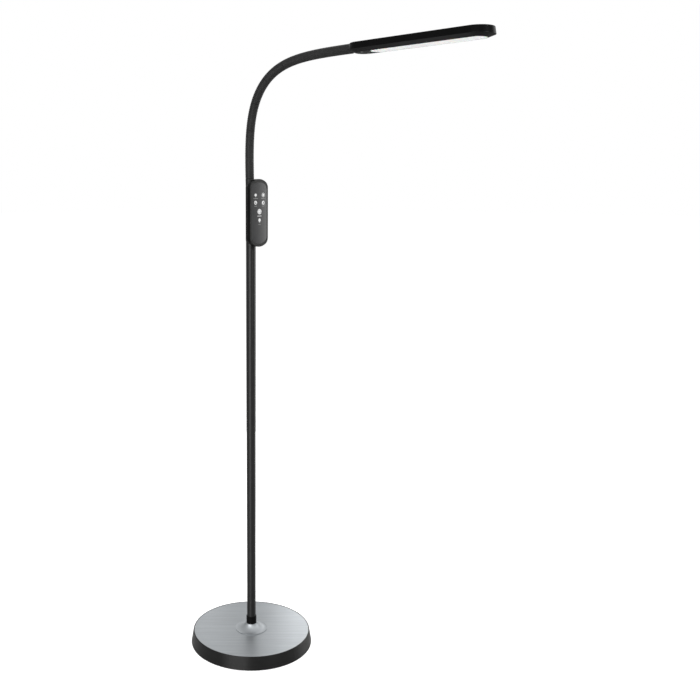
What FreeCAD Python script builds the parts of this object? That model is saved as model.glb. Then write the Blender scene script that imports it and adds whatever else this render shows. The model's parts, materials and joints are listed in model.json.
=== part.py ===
import FreeCAD, Part
import math
import os

# Gooseneck reading floor lamp, piece by piece, at real size.
# Millimetres, +Z up. The origin is on the floor under the middle of the round base.
# The arm reaches out along +X, and the touch panel on the column faces +X too.

Vector = FreeCAD.Vector
X_AXIS = Vector(1, 0, 0)
Y_AXIS = Vector(0, 1, 0)
Z_AXIS = Vector(0, 0, 1)

# ---------------------------------------------------------------- driving dimensions

# Clearances
slip_gap = 0.2             # round a piece that drops into another
screw_gap = 0.25           # round a screw or stud in its hole
cover_gap = 0.5            # round the bottom cover
past = 1.0                 # how far a cut runs past the face that it opens
overlap = 0.5              # how far a boss or socket runs into its wall

# Base
base_radius = 130.0        # skirt at its bottom edge
base_height = 31.0         # floor to the top of the skirt's lip
skirt_taper = 4.7          # the skirt leans in by this much on its way up
skirt_wall = 3.0
skirt_rounding = 1.4       # eased outer edges of the skirt
lip_width = 2.0            # black rim that shows round the silver plate
plate_thickness = 2.0
plate_sink = 0.4           # plate lies this far below the lip
ledge_width = 6.0          # shelf that carries the plate
foot_height = 3.0
foot_radius = 9.0
foot_rounding = 1.0
foot_inset = 22.0          # foot circle, from the skirt's bottom edge
foot_count = 4
middle_pad_radius = 24.0   # pad that closes the opening under the nut
cover_thickness = 2.0
ballast_gap = 11.0         # between ballast and skirt at the bottom
ballast_thickness = 14.0
base_screw_inset = 34.0    # screw circle, from the skirt's bottom edge
base_screw_count = 3
base_screw_start = 45.0    # degrees from +X to the first screw
base_screw_radius = 2.0
base_screw_head_radius = 4.0
base_screw_length = 11.0

# Column fixing in the middle of the base
collar_flange_radius = 34.0
collar_flange_thickness = 1.0
collar_neck_radius = 12.4
collar_height = 13.3
hub_radius = 24.0
stud_radius = 7.0
stud_bore_radius = 4.5
stud_length = 62.0
stud_top_gap = 4.0         # from the stud's top to the top of the foot plug
stud_nut_width = 22.0      # across the flats
stud_nut_height = 7.0
stud_nut_chamfer = 1.0
stud_washer_radius = 17.0
stud_washer_thickness = 1.6
nut_well_radius = 20.0
lead_slot_width = 7.0      # way for the lead through hub and stud
lead_slot_top_gap = 2.0    # from the slot's top to the top of the collar

# Column
lower_pole_radius = 9.4
upper_pole_radius = 9.8
pole_wall = 1.2
lower_pole_top = 471.0
upper_pole_top = 866.0
foot_plug_length = 28.0
ferrule_wall = 1.4
ferrule_height = 15.7
ferrule_groove_depth = 0.5
ferrule_groove_width = 1.0
ferrule_rim = 1.6          # ring above the groove
ferrule_chamfer = 0.5
joiner_reach = 30.0        # into each pole
joiner_bore_radius = 4.5

# Control unit
panel_face_x = 24.5        # front of the bezel, from the column axis
unit_width = 48.4
unit_drop = 11.0           # the unit's lower end, below the top of the pole
unit_height = 132.3
unit_corner_radius = 14.0
unit_arch_rise = 17.0      # height of the arched ends
unit_depth = 12.5          # bezel and rear shell together
unit_wall = 2.0
unit_back_rounding = 4.0
bezel_depth = 2.2
bezel_side = 2.2           # bezel beside the touch panel
bezel_end = 6.0            # bezel above and below the touch panel
bezel_rounding = 0.8
touch_panel_sink = 0.6      # the panel's sides lie this far behind the bezel
touch_panel_crown = 0.7     # and its middle stands this far in front of its sides
spine_radius = 9.2
spine_offset = -1.5        # the spine's axis, from the column axis
spine_drop = 15.3          # the spine's top, below the top of the unit
spine_bore_radius = 5.6
spine_window = 10.0        # opening between spine and rear shell
pole_stub_length = 24.0
pole_stub_bore_radius = 4.8
board_thickness = 1.6
board_margin = 5.0
unit_screw_radius = 1.4
unit_screw_head_radius = 2.8
unit_screw_inset_y = 7.5
unit_screw_inset_z = 20.0
unit_boss_radius = 3.4
connector_rise = 41.0      # connector's underside, above the unit's lower end
connector_height = 9.0
connector_half_width = 3.6
connector_rear_x = -4.0

# Gooseneck
hose_radius = 8.6          # over the ribs
hose_rib_depth = 0.6
hose_bore_radius = 4.4
hose_root_x = -2.1
hose_length = 429.6        # from the spine to the head, along the curve
hose_lean = 2.3            # degrees that the hose first leans back
hose_bend_middle = 200.0   # arc length where the bend is tightest
hose_bend_spread = 43.8    # arc length over which the bend spreads
hose_end_angle = 90.0      # degrees from upright at the head
hose_joint_count = 8
hose_first_joint = 30.0    # arc length of the first joint
hose_tip_length = 30.0     # from the last joint to the head
hose_ball_radius = 7.1
hose_socket_gap = 0.3      # between a ball and its socket
hose_joint_gap = 3.2       # groove between two segments, where the ball shows
hose_rib_pitch = 4.6
root_ferrule_length = 16.0
root_spigot_radius = 5.4
root_spigot_length = 20.0
tip_ferrule_length = 6.0
tip_spigot_radius = 5.0
tip_spigot_length = 20.0
spigot_wall = 1.4

# Lamp head
head_length = 278.0
head_width = 56.0
head_thickness = 16.0
head_axis_height = 9.8     # hose axis above the head's underside
head_draft = 2.0           # top outline is this much smaller all round
head_wall = 2.0
head_top_rounding = 1.5
head_rear_flat = 1.3       # cut off the round rear end where the hose meets it
frame_chamfer_width = 12.0
frame_chamfer_height = 4.5
frame_height = 5.0
frame_lip = 1.5            # thickness of the lip that holds the diffuser
frame_tongue_height = 3.0
frame_tongue_wall = 2.0
diffuser_half_width = 15.0
diffuser_rear = 45.0       # where the light opening starts, from the head's rear
diffuser_front = 13.0      # where it ends, from the head's tip
diffuser_flange = 3.0
diffuser_flange_thickness = 1.0
reflector_wall = 0.8
reflector_top_inset = 6.5
led_board_half_width = 12.0
led_row_spacing = 10.5
led_board_thickness = 1.6
led_rows = 2
led_per_row = 14
led_size = 3.0
led_height = 0.8
head_screw_radius = 1.3
head_screw_head_radius = 2.6
head_screw_grip = 5.0      # how far the screws reach into the shell's bosses
head_screw_x = 30.0
head_screw_y = 9.0
head_boss_radius = 3.2
head_socket_wall = 1.6     # round the hose's spigot

# Supply lead and its inlet
lead_radius = 2.2
lead_straight = 12.0       # straight out of the inlet, and then sideways on its way up
lead_base_bend = 12.0
lead_pole_bend = 5.5       # where it turns up into the column
inlet_height = 15.5
inlet_body_radius = 5.5
inlet_flange_radius = 7.5
inlet_flange_thickness = 1.5
inlet_depth = 14.0
inlet_socket_radius = 2.8
inlet_socket_depth = 9.0
inlet_pin_radius = 0.9
inlet_notch_width = 20.0   # notch in the ballast for inlet and lead
inlet_notch_depth = 34.0

# ---------------------------------------------------------------- places worked out from them

skirt_top_radius = base_radius - skirt_taper
plate_top = base_height - plate_sink
plate_bottom = plate_top - plate_thickness
plate_radius = skirt_top_radius - lip_width
cover_top = foot_height + cover_thickness
foot_circle_radius = base_radius - foot_inset
base_screw_circle_radius = base_radius - base_screw_inset
ballast_radius = base_radius - skirt_wall - ballast_gap
ballast_bottom = cover_top
ballast_top = ballast_bottom + ballast_thickness
collar_top = plate_top + collar_height
stud_top = collar_top + foot_plug_length - stud_top_gap
stud_bottom = stud_top - stud_length
lower_pole_bore = lower_pole_radius - pole_wall
upper_pole_bore = upper_pole_radius - pole_wall
unit_bottom = upper_pole_top - unit_drop
unit_top = unit_bottom + unit_height
spine_top = unit_top - spine_drop
connector_bottom = unit_bottom + connector_rise
bezel_back_x = panel_face_x - bezel_depth
shell_back_x = panel_face_x - unit_depth
touch_panel_side_x = panel_face_x - touch_panel_sink
board_back_x = bezel_back_x - board_thickness
hose_valley_radius = hose_radius - hose_rib_depth
hose_last_joint = hose_length - hose_tip_length
hose_joint_pitch = (hose_last_joint - hose_first_joint) / (hose_joint_count - 1)
hose_joints = [hose_first_joint + i * hose_joint_pitch for i in range(hose_joint_count)]


def bend_progress(distance):
    """Smooth step along the hose, half way up at the middle of its bend."""
    return 1 / (1 + math.exp((hose_bend_middle - distance) / hose_bend_spread))


def hose_angle(distance):
    """Lean of the hose from upright, in radians, at a distance along it."""
    share = bend_progress(distance) - bend_progress(0)
    share /= bend_progress(hose_length) - bend_progress(0)
    return math.radians(-hose_lean + (hose_end_angle + hose_lean) * share)


def hose_point(distance, step=1.0):
    """Point on the hose's axis at a distance along it, summed from the spine upwards."""
    count = max(1, math.ceil(distance / step))
    part = distance / count
    x = hose_root_x
    z = spine_top
    for i in range(count):
        angle = hose_angle((i + 0.5) * part)
        x += part * math.sin(angle)
        z += part * math.cos(angle)
    return Vector(x, 0, z)


def hose_direction(distance):
    """Unit vector along the hose."""
    angle = hose_angle(distance)
    return Vector(math.sin(angle), 0, math.cos(angle))


hose_end = hose_point(hose_length)

# ---------------------------------------------------------------- shape helpers


def tube(outer, inner, bottom, top):
    """Upright round tube on the Z axis."""
    body = Part.makeCylinder(outer, top - bottom, Vector(0, 0, bottom))
    if inner > 0:
        body = body.cut(Part.makeCylinder(inner, top - bottom, Vector(0, 0, bottom)))
    return body


def revolved(points):
    """Solid of revolution about Z from a closed outline of (radius, height) corners."""
    corners = [Vector(r, 0, z) for r, z in points]
    outline = Part.makePolygon(corners + [corners[0]])
    return Part.Face(outline).revolve(Vector(0, 0, 0), Z_AXIS, 360)


def eased(before, corner, after, size):
    """Three points that ease the corner of an outline of (radius, height) corners."""
    before, corner, after = [Vector(r, 0, z) for r, z in (before, corner, after)]
    way_in = corner + (before - corner).normalize() * size
    way_out = corner + (after - corner).normalize() * size
    middle = (way_in + corner * 2 + way_out) * 0.25
    return [(point.x, point.z) for point in (way_in, middle, way_out)]


def around(count, radius, height, start=0.0):
    """Points evenly spaced on a circle about Z."""
    angles = [math.radians(start + 360.0 * i / count) for i in range(count)]
    return [Vector(radius * math.cos(a), radius * math.sin(a), height) for a in angles]


def round_edges(solid, radius, wanted):
    """Fillet the edges that the test picks."""
    edges = [edge for edge in solid.Edges if wanted(edge)]
    return solid.makeFillet(radius, edges)


def countersunk_screw(shank, head, length, place, direction):
    """Screw whose flat head lies at the place, with its shank along the direction."""
    cone = Part.makeCone(head, shank, head - shank, place, direction)
    return cone.fuse(Part.makeCylinder(shank, length, place, direction)).removeSplitter()


def lead_path(points, radii):
    """Straight runs through the points, joined by tangent arcs of the given radii."""
    edges = []
    start = points[0]
    for before, corner, after, radius in zip(points, points[1:], points[2:], radii):
        way_in = (corner - before).normalize()
        way_out = (after - corner).normalize()
        turn = way_in.getAngle(way_out)
        reach = radius * math.tan(turn / 2)
        arc_start = corner - way_in * reach
        arc_end = corner + way_out * reach
        inward = (way_out - way_in).normalize()
        middle = corner + inward * (radius / math.cos(turn / 2) - radius)
        edges.append(Part.LineSegment(start, arc_start).toShape())
        edges.append(Part.Arc(arc_start, middle, arc_end).toShape())
        start = arc_end
    edges.append(Part.LineSegment(start, points[-1]).toShape())
    return Part.Wire(edges)


# ---------------------------------------------------------------- base


def skirt_radius_at(height):
    """Outer radius of the tapered skirt at a height above the floor."""
    share = (height - foot_height) / (base_height - foot_height)
    return base_radius + (skirt_top_radius - base_radius) * share


def base_skirt():
    """Tapered black moulding with a shelf for the plate and a hole for the inlet."""
    ledge_bottom = plate_bottom - skirt_wall
    ledge_radius = plate_radius - ledge_width
    inner_bottom = (base_radius - skirt_wall, foot_height)
    outer_bottom = (base_radius, foot_height)
    outer_top = (skirt_top_radius, base_height)
    inner_top = (plate_radius + slip_gap, base_height)
    skirt = revolved([
        *eased(inner_bottom, outer_bottom, outer_top, skirt_rounding),
        *eased(outer_bottom, outer_top, inner_top, skirt_rounding),
        inner_top,
        (plate_radius + slip_gap, plate_bottom),
        (ledge_radius, plate_bottom),
        (ledge_radius, ledge_bottom),
        (skirt_radius_at(ledge_bottom) - skirt_wall, ledge_bottom),
        inner_bottom,
    ])
    seat_x = -skirt_radius_at(inlet_height) + inlet_flange_thickness
    seat = Part.makeCylinder(inlet_flange_radius + slip_gap, inlet_depth,
                             Vector(seat_x, 0, inlet_height), X_AXIS * -1)
    hole = Part.makeCylinder(inlet_body_radius + slip_gap, 4 * skirt_wall,
                             Vector(seat_x - skirt_wall, 0, inlet_height), X_AXIS)
    return skirt.cut(seat).cut(hole)


def base_screw_places(height):
    """The fixing points of the bottom cover."""
    return around(base_screw_count, base_screw_circle_radius, height, base_screw_start)


def base_top_plate():
    """Brushed metal disc with the hole for the stud."""
    return tube(plate_radius, stud_radius + screw_gap, plate_bottom, plate_top)


def base_bottom_cover():
    """Disc that closes the base from below, with countersunk holes."""
    cover = tube(base_radius - skirt_wall - cover_gap, nut_well_radius, foot_height, cover_top)
    for place in base_screw_places(foot_height):
        cover = cover.cut(countersunk_screw(base_screw_radius + screw_gap,
                                            base_screw_head_radius + screw_gap,
                                            cover_thickness + past, place, Z_AXIS))
    return cover


def ballast_weight():
    """Heavy disc with a well for the nut, a notch for the inlet and pilot holes."""
    ballast = tube(ballast_radius, stud_radius + screw_gap, ballast_bottom, ballast_top)
    well_height = ballast_thickness / 2 + stud_washer_thickness
    ballast = ballast.cut(Part.makeCylinder(nut_well_radius, well_height, Vector(0, 0, ballast_bottom)))
    notch = Part.makeBox(inlet_notch_depth, inlet_notch_width, ballast_thickness,
                         Vector(-ballast_radius - past, -inlet_notch_width / 2, ballast_bottom))
    ballast = ballast.cut(notch)
    for place in base_screw_places(ballast_bottom):
        ballast = ballast.cut(Part.makeCylinder(base_screw_radius + screw_gap,
                                                base_screw_length, place))
    return ballast


def base_screws():
    """Countersunk screws that hold the cover to the ballast."""
    screws = [countersunk_screw(base_screw_radius, base_screw_head_radius,
                                base_screw_length, place, Z_AXIS)
              for place in base_screw_places(foot_height)]
    return Part.makeCompound(screws)


def rubber_feet():
    """Round pads under the base, and the wider one in the middle that closes the nut's opening."""
    def pad(radius):
        corner = (radius, 0)
        rim = (radius, foot_height)
        return revolved([(0, 0), *eased((0, 0), corner, rim, foot_rounding), rim, (0, foot_height)])

    feet = [pad(foot_radius).translated(place)
            for place in around(foot_count, foot_circle_radius, 0.0)]
    return Part.makeCompound(feet + [pad(middle_pad_radius)])


def base_hub():
    """Spacer between the ballast and the plate, slotted for the lead."""
    hub = tube(hub_radius, stud_radius + screw_gap, ballast_top, plate_bottom)
    slot = Part.makeBox(hub_radius + past, lead_slot_width, plate_bottom - ballast_top,
                        Vector(-hub_radius - past, -lead_slot_width / 2, ballast_top))
    return hub.cut(slot)


def base_collar():
    """Silver trumpet that flares from the column onto the plate."""
    flange_top = plate_top + collar_flange_thickness
    flare = math.sqrt(0.5)
    middle = Vector(collar_flange_radius - (collar_flange_radius - collar_neck_radius) * flare, 0,
                    collar_top - (collar_top - flange_top) * flare)
    bore = stud_radius + screw_gap
    corners = [Vector(collar_neck_radius, 0, collar_top), Vector(bore, 0, collar_top),
               Vector(bore, 0, plate_top), Vector(collar_flange_radius, 0, plate_top),
               Vector(collar_flange_radius, 0, flange_top)]
    edges = [Part.LineSegment(a, b).toShape() for a, b in zip(corners, corners[1:])]
    edges.append(Part.Arc(corners[-1], middle, corners[0]).toShape())
    return Part.Face(Part.Wire(edges)).revolve(Vector(0, 0, 0), Z_AXIS, 360)


def pole_stud():
    """Hollow threaded stud that clamps the column to the base, open at one side for the lead."""
    stud = tube(stud_radius, stud_bore_radius, stud_bottom, stud_top)
    slot_top = collar_top - lead_slot_top_gap
    slot = Part.makeBox(stud_radius + past, lead_slot_width, slot_top - ballast_top,
                        Vector(-stud_radius - past, -lead_slot_width / 2, ballast_top))
    return stud.cut(slot)


def stud_washer():
    """Flat washer in the ballast's well."""
    top = ballast_bottom + ballast_thickness / 2 + stud_washer_thickness
    return tube(stud_washer_radius, stud_radius + screw_gap, top - stud_washer_thickness, top)


def stud_nut():
    """Hexagon nut under the washer."""
    top = ballast_bottom + ballast_thickness / 2
    corner_radius = stud_nut_width / math.sqrt(3)
    corners = around(6, corner_radius, top - stud_nut_height)
    outline = Part.Face(Part.makePolygon(corners + [corners[0]]))
    nut = outline.extrude(Z_AXIS * stud_nut_height)
    bottom_place = Vector(0, 0, top - stud_nut_height)
    chamfer = Part.makeCone(corner_radius - stud_nut_chamfer, corner_radius + stud_nut_height,
                            stud_nut_height + stud_nut_chamfer, bottom_place)
    return nut.common(chamfer).cut(Part.makeCylinder(stud_radius, stud_nut_height, bottom_place))


# ---------------------------------------------------------------- column


def pole_ferrule():
    """Black ring round the foot of the column, with a groove under its top rim."""
    outer = lower_pole_radius + ferrule_wall
    inner = lower_pole_radius
    top = collar_top + ferrule_height
    groove_top = top - ferrule_rim
    groove_bottom = groove_top - ferrule_groove_width
    return revolved([
        (inner, collar_top), (outer, collar_top),
        (outer, groove_bottom), (outer - ferrule_groove_depth, groove_bottom),
        (outer - ferrule_groove_depth, groove_top), (outer, groove_top),
        (outer, top - ferrule_chamfer), (outer - ferrule_chamfer, top), (inner, top),
    ])


def pole_foot_plug():
    """Threaded plug pressed into the bottom of the lower pole."""
    return tube(lower_pole_bore, stud_radius, collar_top, collar_top + foot_plug_length)


def lower_pole():
    """Lower tube of the column."""
    return tube(lower_pole_radius, lower_pole_bore, collar_top, lower_pole_top)


def pole_joiner():
    """Turned plug that joins the two tubes from inside."""
    joiner = tube(lower_pole_bore, joiner_bore_radius, lower_pole_top - joiner_reach, lower_pole_top)
    return joiner.fuse(tube(upper_pole_bore, joiner_bore_radius, lower_pole_top,
                            lower_pole_top + joiner_reach))


def upper_pole():
    """Upper tube of the column."""
    return tube(upper_pole_radius, upper_pole_bore, lower_pole_top, upper_pole_top)


# ---------------------------------------------------------------- control unit


def panel_outline(back_x, depth, side_inset=0.0, end_inset=0.0):
    """Upright plate, pushed out along +X. Each end is a flat arc between two tangent corner arcs."""
    half = unit_width / 2 - side_inset
    rise = unit_arch_rise - side_inset
    corner = unit_corner_radius - side_inset
    lower = unit_bottom + end_inset + rise
    upper = unit_top - end_inset - rise
    inner = half - corner
    arc_drop = (inner ** 2 - (rise - corner) ** 2) / (2 * (rise - corner))
    shoulder_turn = math.atan2(inner, arc_drop)
    knuckle_turn = (shoulder_turn + math.pi / 2) / 2
    shoulder, knuckle = [(inner + corner * math.sin(turn), corner * math.cos(turn))
                         for turn in (shoulder_turn, knuckle_turn)]
    edges = []
    for spring, up in ((upper, 1), (lower, -1)):
        def place(y, height):
            return Vector(back_x, y, spring + up * height)

        edges.append(Part.Arc(place(shoulder[0], shoulder[1]), place(0, rise),
                              place(-shoulder[0], shoulder[1])).toShape())
        for side in (1, -1):
            edges.append(Part.Arc(place(side * half, 0), place(side * knuckle[0], knuckle[1]),
                                  place(side * shoulder[0], shoulder[1])).toShape())
    for side in (1, -1):
        edges.append(Part.LineSegment(Vector(back_x, side * half, lower),
                                      Vector(back_x, side * half, upper)).toShape())
    outline = Part.Wire(Part.sortEdges(edges)[0])
    return Part.Face(outline).extrude(X_AXIS * depth)


def unit_screw_places(x):
    """The four fixing points of the rear shell."""
    y = unit_width / 2 - unit_screw_inset_y
    return [Vector(x, sy * y, z) for sy in (-1, 1)
            for z in (unit_bottom + unit_screw_inset_z, unit_top - unit_screw_inset_z)]


def spine_column(radius, bottom, top):
    """Half-round column behind the shell, reaching forward to the shell's back."""
    column = Part.makeCylinder(radius, top - bottom, Vector(spine_offset, 0, bottom))
    filler = Part.makeBox(shell_back_x + unit_wall - spine_offset, 2 * radius, top - bottom,
                          Vector(spine_offset, -radius, bottom))
    return column.fuse(filler)


def root_spigot(radius):
    """Round bar along the first direction of the hose, down into the spine."""
    down = hose_direction(0) * -1
    return Part.makeCylinder(radius, root_spigot_length, Vector(hose_root_x, 0, spine_top), down)


def control_rear_shell():
    """Moulded shell behind the touch panel, with the spine that links pole and hose."""
    shell = panel_outline(shell_back_x, bezel_back_x - shell_back_x)

    def back_edge(edge):
        return edge.BoundBox.XMax < shell_back_x + 0.01

    shell = round_edges(shell, unit_back_rounding, back_edge)
    shell = shell.fuse(spine_column(spine_radius, upper_pole_top, spine_top))
    stub = Part.makeCylinder(upper_pole_bore, pole_stub_length,
                             Vector(0, 0, upper_pole_top - pole_stub_length))
    shell = shell.fuse(stub)
    cavity = panel_outline(shell_back_x + unit_wall, unit_depth, unit_wall, unit_wall)
    shell = shell.cut(cavity)
    boss_length = board_back_x - shell_back_x
    for place in unit_screw_places(shell_back_x):
        shell = shell.fuse(Part.makeCylinder(unit_boss_radius, boss_length, place, X_AXIS))
    bore_bottom = upper_pole_top
    window_bottom = connector_bottom - connector_height
    window_top = connector_bottom + 2 * connector_height
    bore = Part.makeCylinder(spine_bore_radius, spine_top - bore_bottom - root_spigot_length / 2,
                             Vector(spine_offset, 0, bore_bottom))
    window = Part.makeBox(shell_back_x + unit_wall - spine_offset, spine_window,
                          window_top - window_bottom,
                          Vector(spine_offset, -spine_window / 2, window_bottom))
    stub_bore = Part.makeCylinder(pole_stub_bore_radius, pole_stub_length + past,
                                  Vector(0, 0, upper_pole_top - pole_stub_length))
    seat = Part.makeCylinder(hose_radius + past, root_ferrule_length,
                             Vector(hose_root_x, 0, spine_top), hose_direction(0))
    shell = shell.cut(bore).cut(window).cut(stub_bore).cut(seat)
    shell = shell.cut(root_spigot(root_spigot_radius + slip_gap))
    for place in unit_screw_places(shell_back_x):
        shell = shell.cut(countersunk_screw(unit_screw_radius + screw_gap,
                                            unit_screw_head_radius + screw_gap,
                                            unit_depth, place, X_AXIS))
    return shell.removeSplitter()


def control_bezel():
    """Front frame of the control unit, with the seat for the touch panel and screw bosses."""
    bezel = panel_outline(bezel_back_x, bezel_depth)

    def front_edge(edge):
        return edge.BoundBox.XMin > panel_face_x - 0.01

    bezel = round_edges(bezel, bezel_rounding, front_edge)
    return bezel.cut(panel_outline(bezel_back_x, bezel_depth, bezel_side, bezel_end))


def touch_panel():
    """Glossy plate that carries the touch symbols, slightly crowned across."""
    half = unit_width / 2 - bezel_side - slip_gap
    crown_radius = (half ** 2 + touch_panel_crown ** 2) / (2 * touch_panel_crown)
    crown_x = touch_panel_side_x + touch_panel_crown
    blank = panel_outline(bezel_back_x, crown_x - bezel_back_x, bezel_side + slip_gap, bezel_end + slip_gap)
    crown = Part.makeCylinder(crown_radius, unit_height, Vector(crown_x - crown_radius, 0, unit_bottom))
    return blank.common(crown)


def control_board():
    """Circuit board on the back of the touch panel."""
    board = panel_outline(board_back_x, board_thickness, board_margin + unit_wall,
                          board_margin + bezel_end)
    for place in unit_screw_places(board_back_x):
        board = board.cut(Part.makeCylinder(unit_boss_radius + slip_gap, board_thickness, place, X_AXIS))
    return board


def board_connector():
    """Plug on the board that takes the lead in the spine."""
    return Part.makeBox(board_back_x - connector_rear_x, 2 * connector_half_width, connector_height,
                        Vector(connector_rear_x, -connector_half_width, connector_bottom))


def unit_screws():
    """Screws that hold the rear shell to the bezel, entered from behind."""
    length = bezel_back_x - shell_back_x - slip_gap
    return Part.makeCompound([countersunk_screw(unit_screw_radius, unit_screw_head_radius,
                                                length, place, X_AXIS)
                              for place in unit_screw_places(shell_back_x)])


# ---------------------------------------------------------------- gooseneck


def hose_circle(distance, radius):
    """Circle round the hose's axis, its start always on the side that looks along +Y."""
    along = hose_direction(distance)
    turn = FreeCAD.Rotation(Y_AXIS, along.cross(Y_AXIS), along, "ZXY")
    circle = Part.makeCircle(radius)
    circle.Placement = FreeCAD.Placement(hose_point(distance), turn)
    return Part.Wire([circle])


def ribbed_sleeve(start, end):
    """Ribbed outside of one stretch of hose: a valley and a crest for each rib."""
    count = max(1, round((end - start) / hose_rib_pitch))
    half_pitch = (end - start) / (2 * count)
    radii = [hose_valley_radius, hose_radius] * count + [hose_valley_radius]
    return Part.makeLoft([hose_circle(start + i * half_pitch, radius)
                          for i, radius in enumerate(radii)], True, True)


def smooth_sleeve(start, end, radius, steps=4):
    """Smooth stretch round the hose's axis."""
    part = (end - start) / steps
    return Part.makeLoft([hose_circle(start + i * part, radius) for i in range(steps + 1)], True, True)


def hose_segment(start_joint, end_joint):
    """One link of the gooseneck: ribbed sleeve, ball at its lower end, socket at its upper end."""
    start = start_joint + hose_joint_gap / 2
    end = end_joint - hose_joint_gap / 2
    link = ribbed_sleeve(start, end)
    link = link.fuse(Part.makeSphere(hose_ball_radius, hose_point(start_joint)))
    link = link.cut(Part.makeSphere(hose_ball_radius + hose_socket_gap, hose_point(end_joint)))
    return link.cut(hose_bore(start_joint, end_joint))


def hose_bore(start_joint, end):
    """Way for the wires, from just below a ball to a place further along the hose."""
    return smooth_sleeve(start_joint - hose_ball_radius - past, end, hose_bore_radius)


def hose_root():
    """Fixed foot of the gooseneck: smooth ferrule with a spigot, then ribs up to the first socket."""
    first = hose_joints[0]
    end = first - hose_joint_gap / 2
    root = smooth_sleeve(0, root_ferrule_length, hose_radius, 2)
    root = root.fuse(ribbed_sleeve(root_ferrule_length, end))
    root = root.fuse(root_spigot(root_spigot_radius))
    root = root.cut(Part.makeSphere(hose_ball_radius + hose_socket_gap, hose_point(first)))
    root = root.cut(smooth_sleeve(0, first, root_spigot_radius - spigot_wall, 3))
    return root.cut(root_spigot(root_spigot_radius - spigot_wall))


def hose_tip():
    """Last link: ball, ribs, and a smooth ferrule whose spigot enters the lamp head."""
    last = hose_joints[-1]
    start = last + hose_joint_gap / 2
    ribs_end = hose_length - tip_ferrule_length
    tip = ribbed_sleeve(start, ribs_end)
    tip = tip.fuse(smooth_sleeve(ribs_end, hose_length, hose_radius, 2))
    tip = tip.fuse(Part.makeSphere(hose_ball_radius, hose_point(last)))
    tip = tip.fuse(Part.makeCylinder(tip_spigot_radius, tip_spigot_length, hose_end,
                                     hose_direction(hose_length)))
    tip = tip.cut(hose_bore(last, hose_length))
    return tip.cut(Part.makeCylinder(tip_spigot_radius - spigot_wall, tip_spigot_length, hose_end,
                                     hose_direction(hose_length)))


# ---------------------------------------------------------------- lamp head, built with its
# underside at z = 0 and its rear at x = 0, then moved to the end of the hose


def stadium(rear, front, half_width, height):
    """Outline with two straight sides and two round ends."""
    a = rear + half_width
    b = front - half_width
    w = half_width
    edges = [
        Part.LineSegment(Vector(a, -w, height), Vector(b, -w, height)).toShape(),
        Part.Arc(Vector(b, -w, height), Vector(front, 0, height), Vector(b, w, height)).toShape(),
        Part.LineSegment(Vector(b, w, height), Vector(a, w, height)).toShape(),
        Part.Arc(Vector(a, w, height), Vector(rear, 0, height), Vector(a, -w, height)).toShape(),
    ]
    return Part.Wire(edges)


def head_outline(inset, height):
    """The head's own outline, drawn in by an inset all round."""
    return stadium(inset, head_length - inset, head_width / 2 - inset, height)


def opening_outline(grow, height):
    """The light opening's outline, grown all round."""
    return stadium(diffuser_rear - grow, head_length - diffuser_front + grow,
                   diffuser_half_width + grow, height)


def slab(outline, height):
    """Plate of a given thickness above an outline."""
    return Part.Face(outline).extrude(Z_AXIS * height)


def tapered(lower, upper):
    """Solid between two outlines."""
    return Part.makeLoft([lower, upper], True, True)


def placed(shape):
    """Turn a head piece in line with the end of the hose, and move it there."""
    hose_seat = Vector(head_rear_flat, 0, head_axis_height)
    turn = FreeCAD.Rotation(Y_AXIS, hose_end_angle - 90.0)
    moved = shape.translated(hose_seat * -1)
    moved.Placement = FreeCAD.Placement(hose_end, turn) * moved.Placement
    return moved


def rear_cut():
    """Block behind the flat where the hose meets the head."""
    return Part.makeBox(head_width, head_width, 3 * head_thickness,
                        Vector(head_rear_flat - head_width, -head_width / 2, -head_thickness))


def head_screw_places(height):
    """The two fixing points near the rear of the head."""
    return [Vector(head_screw_x, side * head_screw_y, height) for side in (-1, 1)]


def hose_hole():
    """Hole in the head's rear for the hose's spigot."""
    return Part.makeCylinder(tip_spigot_radius + slip_gap, tip_spigot_length + 2 * past,
                             Vector(head_rear_flat - past, 0, head_axis_height), X_AXIS)


def head_housing():
    """Upper shell of the head: drafted wall, closed top, bosses, and the hose's socket."""
    outer = tapered(head_outline(0, frame_height), head_outline(head_draft, head_thickness))

    def top_edge(edge):
        return edge.BoundBox.ZMin > head_thickness - 0.01

    outer = round_edges(outer, head_top_rounding, top_edge)
    ceiling = head_thickness - head_wall
    cavity = tapered(head_outline(head_wall, frame_height), head_outline(head_wall + head_draft, ceiling))
    housing = outer.cut(cavity)
    for place in head_screw_places(frame_height):
        housing = housing.fuse(Part.makeCylinder(head_boss_radius,
                                                 ceiling - frame_height + overlap, place))
    socket_size = tip_spigot_radius + head_socket_wall
    socket = Part.makeBox(tip_spigot_length + head_socket_wall, 2 * socket_size,
                          ceiling - frame_height + overlap,
                          Vector(head_rear_flat, -socket_size, frame_height))
    inside = tapered(head_outline(head_wall / 2, frame_height),
                     head_outline(head_wall / 2 + head_draft, head_thickness))
    housing = housing.fuse(socket.common(inside))
    housing = housing.cut(rear_cut())
    housing = housing.cut(hose_hole())
    for place in head_screw_places(frame_height):
        housing = housing.cut(Part.makeCylinder(head_screw_radius, head_screw_grip + past, place))
    return placed(housing.removeSplitter())


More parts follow.
